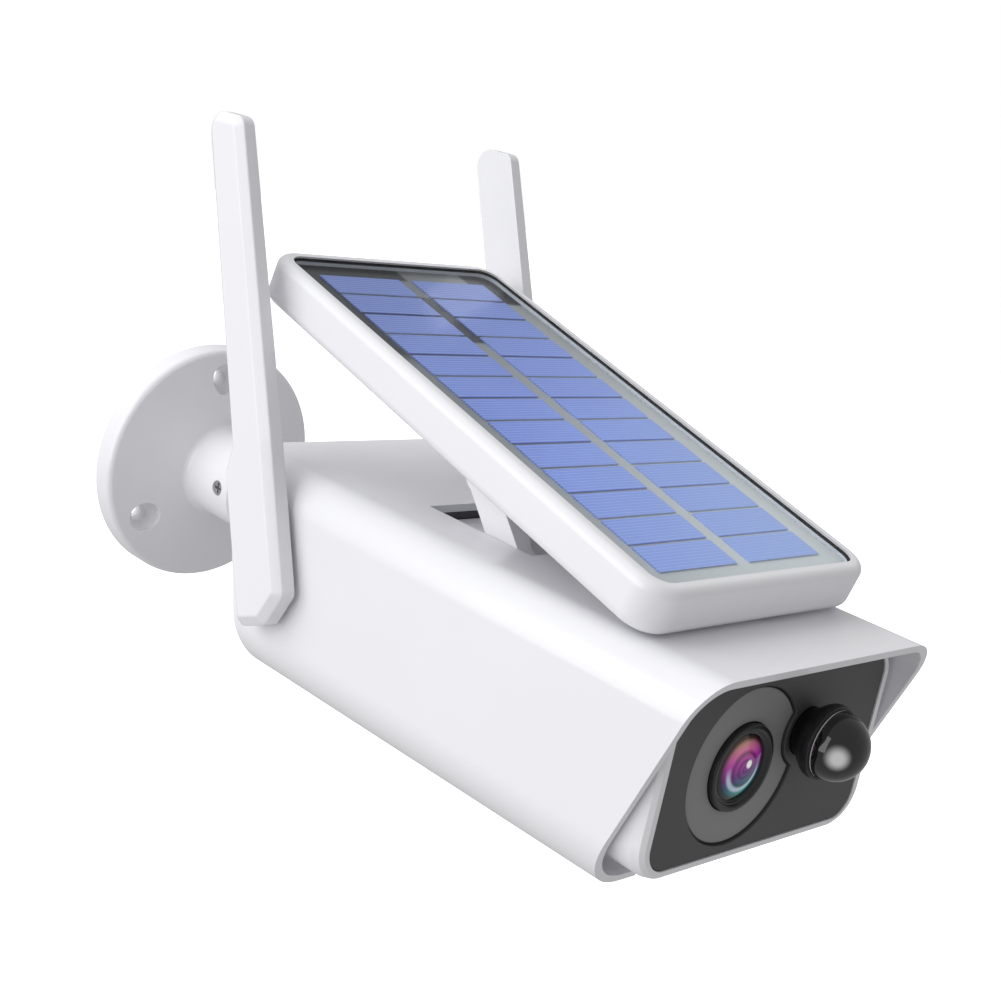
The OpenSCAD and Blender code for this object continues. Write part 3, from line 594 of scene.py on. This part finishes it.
def antenna(node, side):
    """A flat blade: its outline lofted across its thickness, with a rounded bevel on the outer face.

    It thins towards its top: at s mm up the blade the thickness is multiplied by
    1 - thinning (s - step) / (top - step), from s = step upwards.
    """
    lean, thinning = math.radians(22.3), 0.17
    foot, front, rear = 8.9, 7.3, 5.4                # from the hub's line to the foot's and the blade's edges
    base, step, top = -17.5, 24, 102.7               # up the blade from the hub
    front_top = top - (front + rear) * math.tan(lean)
    outline = rounded_outline(
        [(-foot, -11.3), (-1.5, base), (foot, base), (foot, 18.6), (rear, step), (rear, top),
         (-front, front_top), (-foot, step)],
        [3, 3, 3, 5, 5, 4.2, 3, 9], 10)
    thick, bevel, across = 5.2, 1.6, 2.4
    inner = [(0.35, 0), (0.1, 0.1), (0, 0.35)]
    outer = [(0, thick - bevel - 0.25), (0.06, thick - bevel), (0.3, thick - bevel + 0.2)]
    outer += [(across - 0.35, thick - 0.14), (across, thick - 0.02), (across + 0.4, thick)]
    grid = lofted(outline, inner + outer)
    grid[..., 2] *= 1 - thinning * np.clip((grid[..., 1] - step) / (top - step), 0, 1)
    # rearward, upward and outward axes of the leaning blade
    axes = np.array([[0, math.cos(lean), -math.sin(lean)], [0, math.sin(lean), math.cos(lean)], [side, 0, 0]])
    hub = middle_of("antenna_hubs")
    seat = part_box("antenna_right")[0][0] / MM
    weighted(stand_in(node, node + "_blade", grid, axes, (side * seat, hub.y, hub.z)))


antenna("antenna_left", -1)
antenna("antenna_right", 1)


# ---- solar panel ----

def panel_rim():
    """The panel's frame: a wall profile carried round a rounded rectangle, with a deck under the glass."""
    lip_top, floor = 0.5, -10.4                      # heights from the top of the glass
    deck_under, deck_top = -3.5, -2.1
    wall, flange, flange_thick, edge = 2.5, 5.8, 1.9, 0.2
    top_round, low_round, undercut = 2.2, 2.6, 0.3
    levels = [(wall, deck_under), (wall, floor + flange_thick), (flange, floor + flange_thick)]
    levels += [(flange, floor + edge), (flange - edge, floor)]
    levels += [(low_round - x, z) for x, z in arc((0, floor + low_round), low_round, -90, 0, 8)]
    levels += [(top_round - x, z) for x, z in arc((0, lip_top - top_round), top_round, 0, 90, 8)]
    levels += [(PANEL_LIP - undercut, lip_top)]
    levels += [(PANEL_LIP - x, z) for x, z in arc((0, lip_top - undercut), undercut, 90, 0, 3)]
    levels += [(PANEL_LIP, deck_top)]
    grid = lofted(rounded_box_outline(PANEL_WIDTH, PANEL_LENGTH, PANEL_CORNER, 12), levels)
    weighted(stand_in("panel_frame", "panel_rim", grid, PANEL_AXES, GLASS_TOP))


def panel_gasket():
    """The thin black seal between the glass and the frame's lip."""
    top, under, width = 0.05, -0.6, 0.3
    edge = 0.04
    levels = [(0, under), (0, 0.02), (edge, top), (width - edge, top), (width, 0.02), (width, under)]
    outline = rounded_box_outline(
        PANEL_WIDTH - 2 * PANEL_LIP, PANEL_LENGTH - 2 * PANEL_LIP, PANEL_CORNER - PANEL_LIP)
    piece("panel_gasket", BODY_OF["panel_frame"], "rubber", FINISHES["rubber"], lofted(outline, levels),
          PANEL_AXES, GLASS_TOP, wrap_rows=True)


panel_rim()
panel_gasket()


# ---- front face: profiles are (radius, height in front of the dark plate) ----

def lens_front():
    """The front element: a disc turned about the lens's axis, domed as crown (1 - (r / radius)^2)."""
    rear, rim, crown = -5.6, -0.3, 1.2
    share = np.linspace(1, 0, 15)
    profile = [(0, rear), (LENS_RADIUS, rear)] + [(LENS_RADIUS * r, rim + crown * (1 - r * r)) for r in share]
    stand_in("lens_glass", "lens_element", turned(profile, 72), FACING_FRONT, LENS_CENTRE, caps=False)


def lens_surround():
    """The black ring round the lens: a turned ring with a stepped, rounded funnel down to the glass."""
    outside, bore, rear = 9.4, 7.2, -6
    profile = np.concatenate([
        [(outside, rear), (outside, 0.2)], arc((9.0, 0.2), 0.4, 0, 90, 4), arc((8.6, 0.2), 0.4, 90, 150, 3),
        [(8.05, 0.3), (7.95, 0.1), (7.6, 0.02), (7.45, -0.2), (bore, -0.3), (bore, rear)]])
    stand_in("lens_bezel", "lens_surround", turned(profile), FACING_FRONT, LENS_CENTRE, wrap_rows=True)


def dome_collar():
    """The cup under the dome. At h mm in front of the plate, with t = h / height, it flares as
    r = stem + flare t^2 (3 - 2 t), then stands straight up to a rounded lip."""
    stem, flare, height = 5.2, 2.95, 5.2
    bore, rear, seat, seat_radius = 4.6, -5, 5.35, 7.45
    t = np.linspace(0, 1, 13)
    profile = np.concatenate([
        [(bore, rear), (stem, rear)],
        np.stack([stem + flare * t * t * (3 - 2 * t), height * t], -1),
        arc((7.8, 6.25), 0.35, 0, 90, 6),
        [(7.5, 6.58), (seat_radius, 6.5), (seat_radius, seat), (bore, seat)]])
    stand_in("pir_collar", "dome_collar", turned(profile), FACING_FRONT, DOME_FOOT, wrap_rows=True)


def motion_dome():
    """The motion sensor's dome: a thin half ball on a short skirt, drawn from the ball's middle."""
    inside, skirt, edge = DOME_RADIUS - 1.0, -1.65, 0.05
    profile = np.concatenate([
        [(inside, skirt), (DOME_RADIUS - edge, skirt), (DOME_RADIUS, skirt + edge)],
        arc((0, 0), DOME_RADIUS, 0, 90, 24), arc((0, 0), inside, 90, 0, 20)])
    ball = DOME_FOOT - Vector((0, DOME_OUT, 0))
    stand_in("pir_dome", "motion_dome", turned(profile), FACING_FRONT, ball, wrap_rows=True)


lens_front()
lens_surround()
dome_collar()
motion_dome()


# ---- pocket ----

def pocket_ledge():
    """The light step at the rear of the pocket: a block lofted from the tray's floor to a rounded top."""
    width, length, height, rear_gap, tray_floor = 39.0, 12.6, 7.4, 4.0, 1.3
    low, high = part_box("pocket_tray")
    levels = [(0, 0), (0, height - 0.4), (0.1, height - 0.1), (0.5, height)]
    grid = lofted(rounded_box_outline(width, length, 0.6, 4), levels)
    origin = (0, high[1] / MM - rear_gap - length / 2, low[2] / MM + tray_floor)
    weighted(piece("pocket_ledge", BODY_OF["hood"], *finished_by("hood"), grid, LYING, origin))


pocket_ledge()


# ---- parts that keep the CAD shape, with eased edges ----

# Each CAD part's new name, and how far its edges are rounded, in millimetres
EASED = {
    "wall_base": ("wall_mount", 0.5), "hood": ("hood_shell", 0.8), "housing": ("body_shell", 0.3),
    "rear_cover": ("rear_lid", 0.4), "front_bezel": ("front_frame", 0.45), "face_plate": ("front_panel", 0.2),
    "lens_ring": ("lens_trim", 0.15), "lock_ring": ("grip_ring", 0.3),
    "ball_cup": ("joint_cup", 0.2), "stay_arm": ("stay_link", 0.4), "stay_block": ("stay_seat", 0.3),
    "pocket_tray": ("pocket_liner", 0.3), "panel_back": ("panel_rear_plate", 0.3),
    "port_flap": ("port_door", 0.25),
    "clamp_screw": ("clamp_bolt", 0.12), "antenna_hubs": ("antenna_stubs", 0.3),
    "rear_cover_screws": ("lid_screws", 0.12), "hood_screws": ("shell_screws", 0.12),
    "panel_back_screws": ("plate_screws", 0.12), "antenna_washers": ("hub_washers", 0.12),
    "power_button": ("power_key", 0.2), "usb_socket": ("charging_socket", 0.08),
}
for node, (name, width) in EASED.items():
    eased(node, name, width)


# ---- stage, light and camera ----

def floor():
    """A wide pale floor well below the object, which hangs on a wall."""
    half, height = 6.0, cad_low.z - 0.7
    corners = [(-half, -half, height), (half, -half, height), (half, half, height), (-half, half, height)]
    mesh = bpy.data.meshes.new("floor")
    mesh.from_pydata(corners, [], [(0, 1, 2, 3)])
    finish = Finish("floor", Roughness=0.9, Emission_Strength=1.0)
    pale = finish.mix(colour(0.97, 0.97, 0.97), colour(0.985, 0.985, 0.985), finish.noise(0.5, 2))
    finish.set("Base Color", pale)
    finish.set("Emission Color", pale)
    mesh.materials.append(finish.material)
    made = bpy.data.objects.new("floor", mesh)
    bpy.context.scene.collection.objects.link(made)
    made.visible_diffuse = False
    made.visible_glossy = False


def soft_light(name, offset, size, power, mirrored=True):
    """A square soft light at an offset from the object's middle, facing it, which glossy parts may mirror."""
    data = bpy.data.lights.new(name, "AREA")
    data.shape = "SQUARE"
    data.size = size
    data.energy = power
    made = bpy.data.objects.new(name, data)
    made.location = (cad_low + cad_high) / 2 + Vector(offset)
    made.rotation_euler = (-Vector(offset)).to_track_quat("-Z", "Y").to_euler()
    made.visible_glossy = mirrored
    bpy.context.scene.collection.objects.link(made)


def surroundings(lighting):
    """A plain white studio that lights the object with strength `lighting` and looks as bright as 1."""
    world = bpy.data.worlds.new("studio")
    bpy.context.scene.world = world
    world.use_nodes = True
    studio = Nodes(world.node_tree)
    seen = studio.node("ShaderNodeLightPath").outputs["Is Camera Ray"]
    strength = studio.node("ShaderNodeMapRange", None, {"Value": seen, "To Min": lighting, "To Max": 1.0})
    background = studio.tree.nodes["Background"]
    background.inputs["Color"].default_value = (1, 1, 1, 1)
    studio.tree.links.new(strength.outputs[0], background.inputs["Strength"])


def viewpoint(place, forward, upward, focal_length):
    """The camera at a place, from its forward and upward directions and its focal length in millimetres."""
    lens = bpy.data.cameras.new("camera")
    lens.lens = focal_length
    lens.sensor_width = 36
    lens.clip_start = 0.01
    made = bpy.data.objects.new("camera", lens)
    rightward = forward.cross(upward)
    turn = Matrix((rightward, upward, -forward)).transposed()
    made.matrix_world = Matrix.Translation(place) @ turn.to_4x4()
    bpy.context.scene.collection.objects.link(made)
    bpy.context.scene.camera = made


floor()
surroundings(0.48)
soft_light("left_light", (-1.3, 0.3, 0.3), size=1.4, power=12)
soft_light("top_light", (-0.3, 0.9, 1.15), size=2.0, power=17, mirrored=False)
viewpoint((-0.2762, -0.3744, 0.1256), forward=Vector((0.70748, 0.65947, -0.25412)),
          upward=Vector((0.04467, 0.31713, 0.94733)), focal_length=60.53)
bpy.context.scene.view_settings.view_transform = "Standard"
